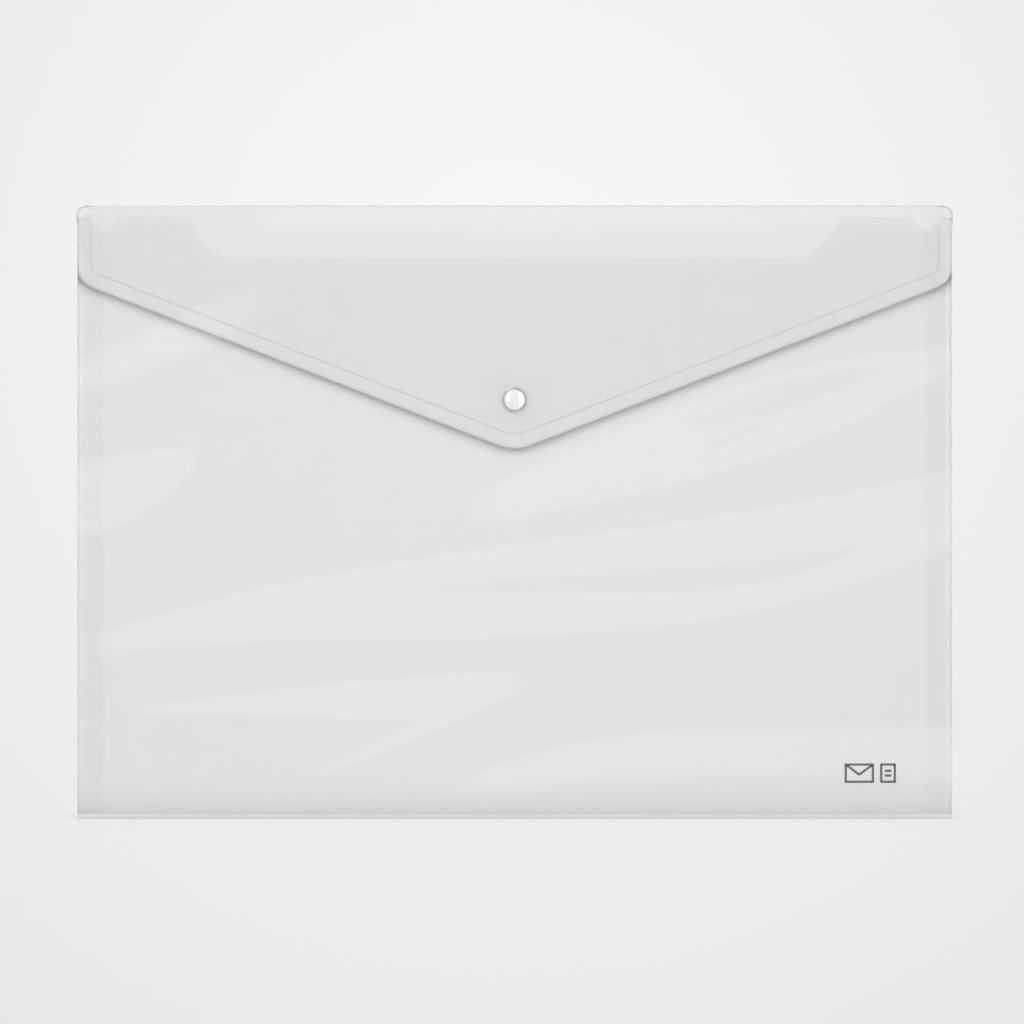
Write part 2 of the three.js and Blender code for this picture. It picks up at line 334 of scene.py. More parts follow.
def give_thickness(piece, thickness=FILM):
    """Makes a sheet a closed film, centred on the sheet, with its cut edges in slot 1."""
    solid = piece.modifiers.new("film", "SOLIDIFY")
    solid.thickness = thickness
    solid.offset = 0
    solid.material_offset_rim = 1


def film_sheet(name, corners, insets, y, materials, holes=(), spacing=(SPACING, SPACING),
               lift=None, gleam=None):
    """Film in the X-Z plane at y: bands between the outline's insets, and a grid inside.

    lift(x, z, inset) says how far the film stands towards the front and gleam(x, z, inset) its
    painted highlight, or painted shade where negative; the grid counts as lying at the last inset."""
    counts = straight_counts(corners)
    rings = [outline_points(moved_corners(corners, inset), counts) for inset in insets]
    size = len(rings[0])
    faces = []
    for band in range(len(rings) - 1):
        outer, inner = band * size, (band + 1) * size
        for i in range(size):
            j = (i + 1) % size
            faces.append((outer + i, outer + j, inner + j, inner + i))
    placed, triangles = filled(rings[-1], holes, spacing)
    first = len(rings) * size
    faces += [tuple(first + index for index in face) for face in triangles]
    points = np.concatenate([np.array([tuple(point) for ring in rings for point in ring]), placed])
    x, z = points.T
    inset = np.full(len(points), insets[-1])
    inset[:first] = np.repeat(insets, size)
    heights = lift(x, z, inset) if lift else 0
    sheen = gleam(x, z, inset) if gleam else None
    vertices = np.stack([x, y - heights, z], axis=1)
    piece = new_piece(name, vertices, faces, materials, sheen)
    if sum(face.normal.y for face in piece.data.polygons) > 0:
        piece.data.flip_normals()
    give_thickness(piece)
    return piece


def ribbon(name, section, stations, place, materials):
    """Film with a bent section repeated at stations: place(point, station) is a vertex."""
    vertices = [place(point, station) for station in stations for point in section]
    size = len(section)
    faces = []
    for row in range(len(stations) - 1):
        for i in range(size - 1):
            a = row * size + i
            faces.append((a, a + 1, a + 1 + size, a + size))
    piece = new_piece(name, vertices, faces, materials)
    give_thickness(piece)
    return piece


def turned(name, profile, materials, segments=96):
    """A closed piece turned about the snap's axis, from corners (radius, y, rounding)."""
    corners = outline_points(profile, [1] * len(profile))
    vertices, faces = [], []
    size = len(corners)
    for segment in range(segments):
        angle = 2 * math.pi * segment / segments
        for radius, y in corners:
            vertices.append((radius * math.cos(angle), y, SNAP.z + radius * math.sin(angle)))
    through = profile[0][0] > 0         # open along the axis, as a ring
    for segment in range(segments):
        here, there = segment * size, (segment + 1) % segments * size
        for i in range(size if through else size - 1):
            j = (i + 1) % size
            faces.append((here + i, here + j, there + j, there + i))
    return new_piece(name, vertices, faces, materials)


# Surface shapes

# A soft fold in the front film: the face that catches the light, which also gets a painted highlight,
# lies between an upper and a lower edge, each a smooth curve through (x, z) points; blur is the
# width over which the two edges soften, span the stretch of x it takes and fade how far each end
# takes to fade out. All in millimetres.
Fold = namedtuple("Fold", "upper lower blur span fade")

BRIGHT_FOLDS = (
    Fold(upper=((-168, 174), (-126, 193), (-84, 214)), lower=((-168, 163), (-126, 178), (-84, 198)),
         blur=(8, 7), span=(-190, -84), fade=(1, 34)),
    Fold(upper=((-168, 136), (-144, 140), (-119, 141)), lower=((-168, 108.5), (-144, 116.5), (-119, 139)),
         blur=(5, 5), span=(-190, -119), fade=(1, 8)),
    Fold(upper=((-157, 71.5), (-80, 91.5), (0, 104.5), (157, 131.5)),
         lower=((-157, 63), (-80, 68.5), (20, 71), (157, 99.5)),
         blur=(3, 5), span=(-168, 190), fade=(22, 1)),
    Fold(upper=((-14, 125), (40, 148.5), (100, 169.5), (160, 180)),
         lower=((-14, 113.5), (40, 123.5), (100, 140.5), (160, 168.5)),
         blur=(4, 3), span=(-24, 175), fade=(22, 12)),
    Fold(upper=((-142, 43), (-80, 50.5), (5, 56.5)), lower=((-142, 40), (-80, 39), (5, 36)),
         blur=(3, 3), span=(-150, 8), fade=(20, 14)),
    Fold(upper=((-85, 16), (-50, 31), (-15, 50)), lower=((-85, 13), (-50, 25), (-15, 41)),
         blur=(7, 4), span=(-86, -4), fade=(18, 12)),
    Fold(upper=((-20, 15), (20, 28), (80, 34.5), (168, 35.5)), lower=((-20, 10), (20, 14), (168, 15)),
         blur=(4, 6), span=(-28, 190), fade=(20, 1)),
)
# Faces where the bright folds' painted highlight is taken away again
DARK_FOLDS = (
    Fold(upper=((-45, 88), (0, 92.5), (60, 96.5), (137, 105)),
         lower=((-45, 86), (20, 86), (80, 88), (137, 105)),
         blur=(5, 4), span=(-52, 140), fade=(40, 14)),
    Fold(upper=((66, 152), (96, 165.5), (124.5, 171.8), (143, 173)),
         lower=((66, 151), (90, 152.5), (115, 160), (143, 172.5)),
         blur=(4, 4), span=(60, 147), fade=(12, 8)),
    Fold(upper=((72, 142.5), (86, 149), (98, 152)), lower=((72, 141), (86, 145.5), (98, 151.5)),
         blur=(3, 3), span=(70, 100), fade=(8, 5)),
    Fold(upper=((-85, 12.5), (-40, 29.5), (20, 58)), lower=((-85, 0), (-40, 14), (20, 40)),
         blur=(2, 6), span=(-92, 20), fade=(8, 10)),
)
PILLOW = 0.5 * MM               # how far the front film bulges towards the front
FLAT_EDGE = 14 * MM             # width along its edges over which bulge and folds die out
BACK_BULGE = 0.25 * MM
FOLD_DROP = 0.45 * MM           # how far the film falls across a bright fold
FOLD_FOOT = 9                   # millimetres over which it rises below the fold
FOLD_GLEAM = 0.16               # how much brighter a bright fold looks: its painted highlight
BOTTOM_SHADE = 0.3              # how much darker the film looks next to the bottom fold: painted shade
BOTTOM_SHADE_HEIGHT = 17 * MM


def curve_through(points, x):
    """A smooth curve z(x) through a few points."""
    xs, zs = zip(*points)
    return np.polyval(np.polyfit(xs, zs, len(points) - 1), x)


def fold_ends(fold, x):
    """1 along the fold, fading to 0 at its two ends."""
    start = smooth_step((x - fold.span[0]) / fold.fade[0])
    return start * smooth_step((fold.span[1] - x) / fold.fade[1])


def fold_face(fold, x, z):
    """1 on the fold's face and 0 off it, for places in metres."""
    x, z = x / MM, z / MM
    below_upper = smooth_step(0.5 + (curve_through(fold.upper, x) - z) / fold.blur[0])
    above_lower = smooth_step(0.5 + (z - curve_through(fold.lower, x)) / fold.blur[1])
    return below_upper * above_lower * fold_ends(fold, x)


def fold_height(fold, x, z):
    """The film rises to the fold's lower edge and falls away across its face."""
    x, z = x / MM, z / MM
    lower = curve_through(fold.lower, x)
    width = np.maximum(curve_through(fold.upper, x) - lower, FOLD_FOOT)
    rise = smooth_step(1 + (z - lower) / FOLD_FOOT)
    fall = 1 - smooth_step((z - lower) / width)
    return FOLD_DROP * rise * fall * fold_ends(fold, x)


def front_gleam(x, z, _):
    """Painted highlights on the folds' bright faces, and painted shade in a band where the film turns under
    at the bottom.
    """
    bright = np.max([fold_face(fold, x, z) for fold in BRIGHT_FOLDS], axis=0)
    dark = np.max([fold_face(fold, x, z) for fold in DARK_FOLDS], axis=0)
    bottom = np.clip(1 - z / BOTTOM_SHADE_HEIGHT, 0, 1) ** 2
    return FOLD_GLEAM * bright * (1 - dark) * (1 - bottom) - BOTTOM_SHADE * bottom


def flap_edge_z(x):
    """Height of the flap's edge above a place on the front, away from its round corners."""
    slope = (FLAP_APEX_DROP - FLAP_SIDE_DROP) / HALF_WIDTH
    return HEIGHT - FLAP_APEX_DROP + slope * np.abs(x)


def front_lift(x, z, _=0):
    """The front film: a shallow pillow with soft folds, flat under the flap and at its edges."""
    to_side = np.abs(HALF_WIDTH - np.abs(x))
    edges = smooth_step(to_side / FLAT_EDGE) * smooth_step((z - FRONT_LOW.z) / FLAT_EDGE)
    open_area = smooth_step((flap_edge_z(x) - 2 * MM - z) / (12 * MM))
    folds = sum(fold_height(fold, x, z) for fold in BRIGHT_FOLDS)
    pillow = PILLOW * smooth_step(to_side / (60 * MM)) * smooth_step(z / (40 * MM))
    return edges * open_area * (pillow + folds)


def back_gleam(x, z, _):
    """A painted highlight in a band below the top, which fades out towards the left."""
    band = smooth_step(0.5 + (z - TOP_GLEAM_Z) / TOP_GLEAM_BLUR)
    return TOP_GLEAM * band * smooth_step(0.5 + (x - TOP_GLEAM_X) / TOP_GLEAM_FADE)


def back_lift(x, z, _):
    """The back film bows out a little over the pocket."""
    across = np.cos(math.pi / 2 * np.clip(x / HALF_WIDTH, -1, 1))
    up = np.sin(math.pi * np.clip(z / HEIGHT, 0, 1))
    wave = np.sin(x / (41 * MM) + 1.3) * np.sin(z / (33 * MM) + x / (70 * MM))
    return -BACK_BULGE * across * up * (1 + 0.4 * wave)


# The wallet's pieces


def flap_corners():
    side_z = HEIGHT - FLAP_SIDE_DROP
    return [
        (0, HEIGHT - FLAP_APEX_DROP, FLAP_APEX_RADIUS),
        (HALF_WIDTH, side_z, FLAP_SIDE_RADIUS),
        (HALF_WIDTH, PANEL_TOP, TOP_RADIUS),
        (-HALF_WIDTH, PANEL_TOP, TOP_RADIUS),
        (-HALF_WIDTH, side_z, FLAP_SIDE_RADIUS),
    ]


def pressed(z):
    """1 where the flap's edge is pressed, 0 near the crease, which is left plain."""
    return smooth_step((GROOVE_TOP - z) / (3 * MM))


def flap_lift(_, z, inset):
    """The flap's edge turns down in a fine lip, and a line is pressed along inside it."""
    lip = LIP_DROP * (1 - smooth_step(inset / LIP_WIDTH))
    groove = GROOVE_DEPTH * (1 - smooth_step(abs(inset - GROOVE_INSET) / GROOVE_HALF))
    return -(lip + groove) * pressed(z)


def flap_gleam(x, z, inset):
    """Painted highlight along the flap's edge and beside the groove, painted shade in the groove and at the
    top corners.
    """
    from_groove = abs(inset - GROOVE_INSET)
    lip = LIP_GLEAM * (1 - smooth_step(inset / (0.6 * MM)))
    groove = GROOVE_SHADE * (1 - smooth_step(from_groove / GROOVE_HALF))
    banks = BANK_GLEAM * (1 - smooth_step(abs(from_groove - 1.4 * GROOVE_HALF) / (0.5 * GROOVE_HALF)))
    at_corner = smooth_step((abs(x) - HALF_WIDTH + TOP_RADIUS + 1 * MM) / (1 * MM)) * (1 - pressed(z))
    corner = CORNER_SHADE * (1 - smooth_step(inset / LIP_WIDTH)) * at_corner
    return (lip - groove + banks) * pressed(z) - corner


def make_flap(film, edge):
    lip = np.linspace(0, LIP_WIDTH, 6)
    border = np.linspace(LIP_WIDTH, GROOVE_INSET - 2 * GROOVE_HALF, 4)[1:]
    groove = np.linspace(GROOVE_INSET - 2 * GROOVE_HALF, GROOVE_INSET + 2 * GROOVE_HALF, 17)[1:]
    flap = film_sheet("flap_film", flap_corners(), [*lip, *border, *groove], FLAP_Y, (film, edge),
                      holes=[(0, SNAP.z, HOLE_RADIUS)], lift=flap_lift, gleam=flap_gleam)
    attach(flap, "flap")
    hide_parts("flap")


def front_corners():
    """The front panel's outline, with its relief notches and its thumb cut-out."""
    bottom = FRONT_LOW.z - CREASE_REACH
    right = [(HALF_WIDTH, MOUTH_Z, 1 * MM)]
    right += [(x, MOUTH_Z - drop, radius) for x, drop, radius in MOUTH_CORNERS]
    left = [(-x, z, radius) for x, z, radius in reversed(right)]
    return [(-HALF_WIDTH, bottom, 0), (HALF_WIDTH, bottom, 0), *right, *left]


def make_front(film, edge):
    front = film_sheet("front_film", front_corners(), [0, 0.15 * MM, 0.5 * MM], FRONT_Y, (film, edge),
                       holes=[(0, SNAP.z, HOLE_RADIUS)], spacing=FRONT_SPACING,
                       lift=front_lift, gleam=front_gleam)
    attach(front, "front")
    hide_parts("front_panel")


def make_back(film, edge):
    bottom = FRONT_LOW.z - CREASE_REACH
    side = BACK_HIGH.x
    corners = [
        (-side, bottom, 0),
        (side, bottom, 0),
        (side, PANEL_TOP, TOP_RADIUS),
        (-side, PANEL_TOP, TOP_RADIUS),
    ]
    back = film_sheet("back_film", corners, [0, 0.15 * MM, 0.5 * MM], BACK_Y, (film, edge),
                      lift=back_lift, gleam=back_gleam)
    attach(back, "back")
    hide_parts("back_panel")


def arc(centre, radius, start_degrees, end_degrees, steps=ARC_STEPS):
    """Points (u, v) along an arc."""
    angles = np.radians(np.linspace(start_degrees, end_degrees, steps + 1))
    return [(centre[0] + radius * math.cos(a), centre[1] + radius * math.sin(a)) for a in angles]


def make_side_fold(name, node, side, film, edge):
    """The U-fold and tab at a side. The tab follows the front, so the fold opens as a bellows."""
    radius = (BACK_Y - TAB_Y) / 2
    centre = (HALF_WIDTH - FILM / 2 - radius, (BACK_Y + TAB_Y) / 2)
    section = arc(centre, radius, 90, -90)
    along_tab = (*np.linspace(centre[0], TAB_EDGE, 6)[1:5], TAB_EDGE + 0.2 * MM, TAB_EDGE)
    section += [(x, TAB_Y) for x in along_tab]

    def place(point, z):
        beyond = max(z - (PANEL_TOP - TOP_RADIUS), 0)
        rounding = TOP_RADIUS - math.sqrt(max(TOP_RADIUS ** 2 - beyond ** 2, 0))
        x = min(point[0], HALF_WIDTH - FILM / 2 - rounding)
        return side * x, point[1], z

    stations = np.linspace(TAB_LOW.z - FOLD_OVERLAP, PANEL_TOP - FOLD_TOP_GAP, 120)
    fold = ribbon(name, section, stations, place, (film, edge))
    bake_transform(fold)
    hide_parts(node)


def make_bottom_fold(film, edge):
    radius = (BACK_Y - FRONT_Y) / 2
    centre = ((BACK_Y + FRONT_Y) / 2, radius + FILM / 2)
    section = arc(centre, radius, 0, -180, 2 * ARC_STEPS)
    stations = np.linspace(-HALF_WIDTH, HALF_WIDTH, 80)
    fold = ribbon("bottom_fold_film", section, stations, lambda p, x: (x, p[0], p[1]), (film, edge))
    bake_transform(fold)
    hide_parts("bottom_fold")


def make_spine(film, edge):
    """The strip across the top, very slightly crowned."""
    back, front = BACK_Y - CREASE_REACH, FLAP_Y + CREASE_REACH
    crown = 0.12 * MM
    section = []
    for share in np.linspace(0, 1, 9):
        rise = crown * (math.sin(math.pi * share) - 1)
        section.append((back + (front - back) * share, BACK_PIVOT.z + rise))
    stations = np.linspace(TOP_RADIUS - HALF_WIDTH, HALF_WIDTH - TOP_RADIUS, 80)
    spine = ribbon("top_spine_film", section, stations, lambda p, x: (x, p[0], p[1]), (film, edge))
    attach(spine, "spine")
    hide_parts("top_spine")


def make_crease(name, bodies, pivot, side, film, edge):
    """The bend at a crease: from the upright film to the spine, which lies to its side (+1 is +Y)."""
    centre = (pivot.y + side * CREASE_REACH, pivot.z - CREASE_REACH)
    section = arc(centre, CREASE_REACH, 90 + 90 * side, 90, 8)
    stations = np.linspace(TOP_RADIUS - HALF_WIDTH, HALF_WIDTH - TOP_RADIUS, 80)
    crease = ribbon(name, section, stations, lambda p, x: (x, p[0], p[1]), (film, edge))
    upright = (0, *section[0])
    level = (0, *section[-1])
    start, end = (upright, level) if bodies[0] == "back" else (level, upright)
    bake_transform(crease)
    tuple(start)
    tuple(end)


def make_snap(clear):
    """The four snap pieces, each turned from its own section."""
    rim = CAP_HIGH.x
    flap_outer, flap_inner = FLAP_LOW.y, SOCKET_LOW.y
    crown = CAP_LOW.y
    post = 0.8 * MM
    fine = 0.12 * MM
    dome = [(radius, crown + DOME_RADIUS - math.sqrt(DOME_RADIUS ** 2 - radius ** 2), 0)
            for radius in np.linspace(0, DOME_EDGE, 14)]
    foot = dome[-1][1]
    cap = turned("snap_cap_turned", [
        *dome,
        (DOME_EDGE + 0.12 * MM, foot + 0.12 * MM, 0.05 * MM),
        (DOME_EDGE + 0.3 * MM, foot + 0.02 * MM, 0.08 * MM),
        (rim - 0.08 * MM, flap_outer - 0.3 * MM, 0.2 * MM),
        (rim, flap_outer - 0.05 * MM, 0.04 * MM),
        (rim - 0.15 * MM, flap_outer, 0),
        (post, flap_outer, fine),
        (post, CAP_HIGH.y, fine),
        (0, CAP_HIGH.y, 0),
    ], [clear])
    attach(cap, "flap")
    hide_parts("snap_cap")

    ring, mouth = SOCKET_HIGH.x, SOCKET_HIGH.y
    floor = flap_inner + 0.3 * MM
    socket = turned("snap_socket_turned", [
        (HOLE_RADIUS, flap_inner, fine),
        (ring, flap_inner, fine),
        (ring, mouth - 0.6 * MM, 0.25 * MM),
        (ring - 0.6 * MM, mouth, 0.25 * MM),
        (2.9 * MM, mouth, fine),
        (2.7 * MM, mouth - 0.3 * MM, fine),
        (2.4 * MM, mouth - 0.3 * MM, fine),
        (2.2 * MM, mouth, fine),
        (1.75 * MM, mouth, fine),
        (1.75 * MM, mouth - 0.35 * MM, fine),
        (1.95 * MM, mouth - 0.55 * MM, fine),
        (1.95 * MM, floor, fine),
        (HOLE_RADIUS, floor, fine),
    ], [clear])
    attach(socket, "flap")
    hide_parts("snap_socket")

    front_outer = STUD_HIGH.y
    flange = front_outer - 0.5 * MM
    tip = STUD_LOW.y
    stud = turned("snap_stud_turned", [
        (0, tip, 0),
        (1.35 * MM, tip, 0.2 * MM),
        (1.6 * MM, tip + 0.3 * MM, 0.2 * MM),
        (1.6 * MM, tip + 0.6 * MM, fine),
        (1.35 * MM, tip + 0.85 * MM, fine),
        (1.35 * MM, flange, fine),
        (3.6 * MM, flange, 0.2 * MM),
        (ring, flange + 0.25 * MM, fine),
        (ring, front_outer, fine),
        (HOLE_RADIUS, front_outer, fine),
        (HOLE_RADIUS, front_outer - 0.3 * MM, fine),
        (0, front_outer - 0.3 * MM, 0),
    ], [clear])
    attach(stud, "front")
    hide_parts("snap_stud")

    front_inner, inner_crown = FRONT_HIGH.y, STUD_CAP_HIGH.y
    stud_cap = turned("snap_stud_cap_turned", [
        (0, STUD_CAP_LOW.y, 0),
        (post, STUD_CAP_LOW.y, fine),
        (post, front_inner, fine),
        (rim - 0.15 * MM, front_inner, 0),
        (rim, front_inner + 0.05 * MM, fine),
        (rim - 0.25 * MM, inner_crown - 0.3 * MM, 0.4 * MM),
        (3.4 * MM, inner_crown, 0.5 * MM),
        (0, inner_crown - 0.1 * MM, 0),
    ], [clear])
    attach(stud_cap, "front")
    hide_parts("snap_stud_cap")


SIGN_LEFT, SIGN_BOTTOM = 126.8 * MM, 14.2 * MM     # the printed sign's lower left corner
SIGN_HEIGHT = 6.6 * MM
SIGN_LINE = 0.8 * MM
SIGN_WALLET_WIDTH = 10.4 * MM
SIGN_PAGE_LEFT = SIGN_LEFT + 13.6 * MM
SIGN_PAGE_WIDTH = 5.2 * MM


def stroke(start, end, width):
    """A straight printed line as a row of small quads (x, z), which make_print lifts to follow the film's
    bulge.
    """
    start, end = Vector(start), Vector(end)
    along = (end - start).normalized()
    side = Vector((-along.y, along.x)) * (width / 2)
    steps = max(1, round((end - start).length / (0.8 * MM)))
    vertices, faces = [], []
    for step in range(steps + 1):
        middle = start.lerp(end, step / steps)
        vertices += [middle - side, middle + side]
    for step in range(steps):
        first = 2 * step
        faces.append((first, first + 2, first + 3, first + 1))
    return vertices, faces


def outline_strokes(corners):
    """Strokes along a closed outline, each a little longer than its side to fill the corners."""
    strokes = []
    for index, corner in enumerate(corners):
        start, end = Vector(corner), Vector(corners[(index + 1) % len(corners)])
        reach = (end - start).normalized() * 0.3 * SIGN_LINE
        strokes.append((start - reach, end + reach))
    return strokes


def make_print(ink):
    """A small printed sign near the lower right corner: a wallet with its flap, and a page."""
    left, bottom = SIGN_LEFT, SIGN_BOTTOM
    right, top = left + SIGN_WALLET_WIDTH, bottom + SIGN_HEIGHT
    flap_tip = ((left + right) / 2, bottom + 0.42 * SIGN_HEIGHT)
    strokes = outline_strokes([(left, bottom), (right, bottom), (right, top), (left, top)])
    strokes += [((left, top), flap_tip), (flap_tip, (right, top))]
    page_left, page_right = SIGN_PAGE_LEFT, SIGN_PAGE_LEFT + SIGN_PAGE_WIDTH
    page = [(page_left, bottom), (page_right, bottom), (page_right, top), (page_left, top)]
    strokes += outline_strokes(page)
    for share in (0.36, 0.64):
        z = bottom + share * SIGN_HEIGHT
        strokes.append(((page_left + 1.4 * MM, z), (page_right - 1.4 * MM, z)))
    vertices, faces = [], []
    for start, end in strokes:
        points, quads = stroke(start, end, SIGN_LINE)
        faces += [tuple(len(vertices) + index for index in quad) for quad in quads]
        for x, z in points:
            lift = float(front_lift(np.array([x]), np.array([z]))[0])
            vertices.append((x, FRONT_Y - lift - FILM / 2 - INK_THICKNESS, z))
    mark = new_piece("wallet_sign_print", vertices, faces, (ink,))
    give_thickness(mark, INK_THICKNESS)
    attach(mark, "front")


# Materials


def add(tree, kind, inputs=None, **settings):
    """A shader node with its settings, and its inputs either linked or set."""
    made = tree.nodes.new(kind)
    for setting, value in settings.items():
        setattr(made, setting, value)
    for key, value in (inputs or {}).items():
        if isinstance(value, bpy.types.NodeSocket):
            tree.links.new(value, made.inputs[key])
        else:
            made.inputs[key].default_value = value
    return made


def maths(tree, operation, first, second=0.0, clamp=False):
    inputs = {0: first, 1: second}
    return add(tree, "ShaderNodeMath", inputs, operation=operation, use_clamp=clamp).outputs[0]


def ramp(tree, value, low, high, to_low=0.0, to_high=1.0):
    """Value mapped evenly from low..high to to_low..to_high, and held beyond them."""
    inputs = {"Value": value, "From Min": low, "From Max": high, "To Min": to_low, "To Max": to_high}
    return add(tree, "ShaderNodeMapRange", inputs, interpolation_type="SMOOTHSTEP").outputs[0]


def noise(tree, place, scale, detail=2.0, roughness=0.5):
    inputs = {"Vector": place, "Scale": scale, "Detail": detail, "Roughness": roughness}
    return add(tree, "ShaderNodeTexNoise", inputs).outputs[0]


def new_material(name):
    material = bpy.data.materials.new(name)
    material.use_nodes = True
    material.node_tree.nodes.clear()
    return material, material.node_tree


def grey(tree, value, tone):
    """A tone scaled by a value."""
    made = tree.nodes.new("ShaderNodeVectorMath")
    made.operation = "SCALE"
    made.inputs[0].default_value = tone
    tree.links.new(value, made.inputs["Scale"])
    return made.outputs[0]


def flap_edge_line(tree, place):
    """A painted shadow: the dark line that the flap's edge throws on the front film, from how closed in
    each place is; none next to the floor.
    """
    nearby = {"Distance": EDGE_REACH}
    open_sky = add(tree, "ShaderNodeAmbientOcclusion", nearby, samples=10).outputs["AO"]
    closed = maths(tree, "SQRT", maths(tree, "SUBTRACT", 1.0, open_sky))
    line = maths(tree, "SUBTRACT", maths(tree, "MULTIPLY", closed, EDGE_GAIN), EDGE_OFFSET)
    line = maths(tree, "MULTIPLY", maths(tree, "MAXIMUM", line, 0.0), ramp(tree, open_sky, *EDGE_OPEN))
    height = add(tree, "ShaderNodeSeparateXYZ", {0: place}).outputs[2]
    return maths(tree, "MULTIPLY", line, ramp(tree, height, 8 * MM, 12 * MM))


def side_shade(tree, place):
    """The darker strips where the front film is welded to the side folds, with painted shade added where
    they bend round to the back.
    """
    across = add(tree, "ShaderNodeSeparateXYZ", {0: place}).outputs[0]
    from_middle = maths(tree, "ABSOLUTE", across)
    weld = ramp(tree, from_middle, TAB_EDGE - 0.2 * MM, TAB_EDGE + 0.4 * MM, 0.0, WELD_SHADE)
    bend = ramp(tree, from_middle, HALF_WIDTH - BEND_WIDTH, HALF_WIDTH, 0.0, BEND_SHADE)
    return maths(tree, "ADD", weld, bend)


def front_shades(tree, place, normal, seen_face):
    """How much more opaque and how much darker the front film looks, on its outer face only: the flap
    edge's painted shadow, the darker weld strips and painted shade over the side folds' bends.
    """
    faces_back = add(tree, "ShaderNodeSeparateXYZ", {0: normal}).outputs[1]
    outer = maths(tree, "MULTIPLY", seen_face, ramp(tree, faces_back, -0.2, 0.2, 1.0, 0.0))
    line = maths(tree, "MULTIPLY", flap_edge_line(tree, place), outer)
    sides = maths(tree, "MULTIPLY", side_shade(tree, place), outer)
    thicker = maths(tree, "ADD", maths(tree, "MULTIPLY", line, EDGE_THICKENS), sides)
    darker = maths(tree, "ADD", maths(tree, "MULTIPLY", line, EDGE_DARKENS), sides)
    return thicker, darker


def film_depth(tree, place, grain, facing):
    """How much frosting the light crosses: more in the clouds, and more aslant."""
    clouds = ramp(tree, noise(tree, place, CLOUD_SCALE, 1), *NOISE_SPAN, *CLOUD_HAZE)
    haze = maths(tree, "ADD", clouds, maths(tree, "MULTIPLY", grain, GRAIN_HAZE))
    square_on = maths(tree, "POWER", maths(tree, "SUBTRACT", 1.0, facing), 2.0)
    slant = maths(tree, "DIVIDE", maths(tree, "SUBTRACT", 1.0, square_on), PLASTIC_IOR ** 2)
    across = maths(tree, "SQRT", maths(tree, "SUBTRACT", 1.0, slant))
    return maths(tree, "DIVIDE", haze, across)


def film_body(tree, cover, colour):
    """Frosting that is lit from both sides, and clear for the rest of the light."""
    lit_from_front = add(tree, "ShaderNodeBsdfDiffuse", {"Color": colour}).outputs[0]
    lit_from_behind = add(tree, "ShaderNodeBsdfTranslucent", {"Color": colour}).outputs[0]
    frosting = add(tree, "ShaderNodeMixShader", {0: 0.5, 1: lit_from_front, 2: lit_from_behind})
    clear = add(tree, "ShaderNodeBsdfTransparent").outputs[0]
    return add(tree, "ShaderNodeMixShader", {0: cover, 1: clear, 2: frosting.outputs[0]}).outputs[0]


def film_shine(tree, body, grain, facing, seen_face):
    """The film's body under a soft shine, which grows stronger aslant."""
    bump = add(tree, "ShaderNodeBump", {"Height": grain, "Strength": 0.1, "Distance": GRAIN_BUMP})
    inputs = {"Roughness": FILM_ROUGHNESS, "Normal": bump.outputs[0]}
    shine = add(tree, "ShaderNodeBsdfGlossy", inputs).outputs[0]
    aslant = maths(tree, "MULTIPLY", maths(tree, "POWER", facing, 5.0), MIRROR_ASLANT)
    mirror = maths(tree, "MULTIPLY", maths(tree, "ADD", MIRROR_AHEAD, aslant), seen_face)
    return add(tree, "ShaderNodeMixShader", {0: mirror, 1: body, 2: shine}).outputs[0]


def film_material(name, opacity, tone=FILM_TONE, is_front=False):
    """Frosted clear film: hazy, grainy, a little more opaque aslant, with a soft shine on top.

    opacity is the share of a sheet seen square on, all of it on the face towards the eye. The
    sheen attribute carries painted highlights, which brighten the film, and painted shade where
    it is negative, which darkens and thickens it."""
    material, tree = new_material(name)
    place = add(tree, "ShaderNodeTexCoord").outputs["Object"]
    facing = add(tree, "ShaderNodeLayerWeight", {"Blend": 0.5}).outputs["Facing"]
    geometry = add(tree, "ShaderNodeNewGeometry").outputs
    seen_face = maths(tree, "SUBTRACT", 1.0, geometry["Backfacing"])
    grain = noise(tree, place, GRAIN_SCALE, 0)
    depth = maths(tree, "MULTIPLY", film_depth(tree, place, grain, facing), seen_face)
    cover = maths(tree, "SUBTRACT", 1.0, maths(tree, "POWER", 1 - opacity, depth))

    sheen = add(tree, "ShaderNodeAttribute", attribute_name="sheen").outputs["Fac"]
    shade = maths(tree, "MAXIMUM", maths(tree, "MULTIPLY", sheen, -1.0), 0.0)
    cover = maths(tree, "ADD", cover, maths(tree, "MULTIPLY", shade, seen_face), clamp=True)
    level = maths(tree, "ADD", 1.0, sheen)
    if is_front:
        thicker, darker = front_shades(tree, place, geometry["Normal"], seen_face)
        cover = maths(tree, "ADD", cover, thicker, clamp=True)
        level = maths(tree, "MULTIPLY", level, maths(tree, "SUBTRACT", 1.0, darker))

    body = film_body(tree, cover, grey(tree, level, tone))
    film = film_shine(tree, body, grain, facing, seen_face)
    add(tree, "ShaderNodeOutputMaterial", {"Surface": film})
    return material


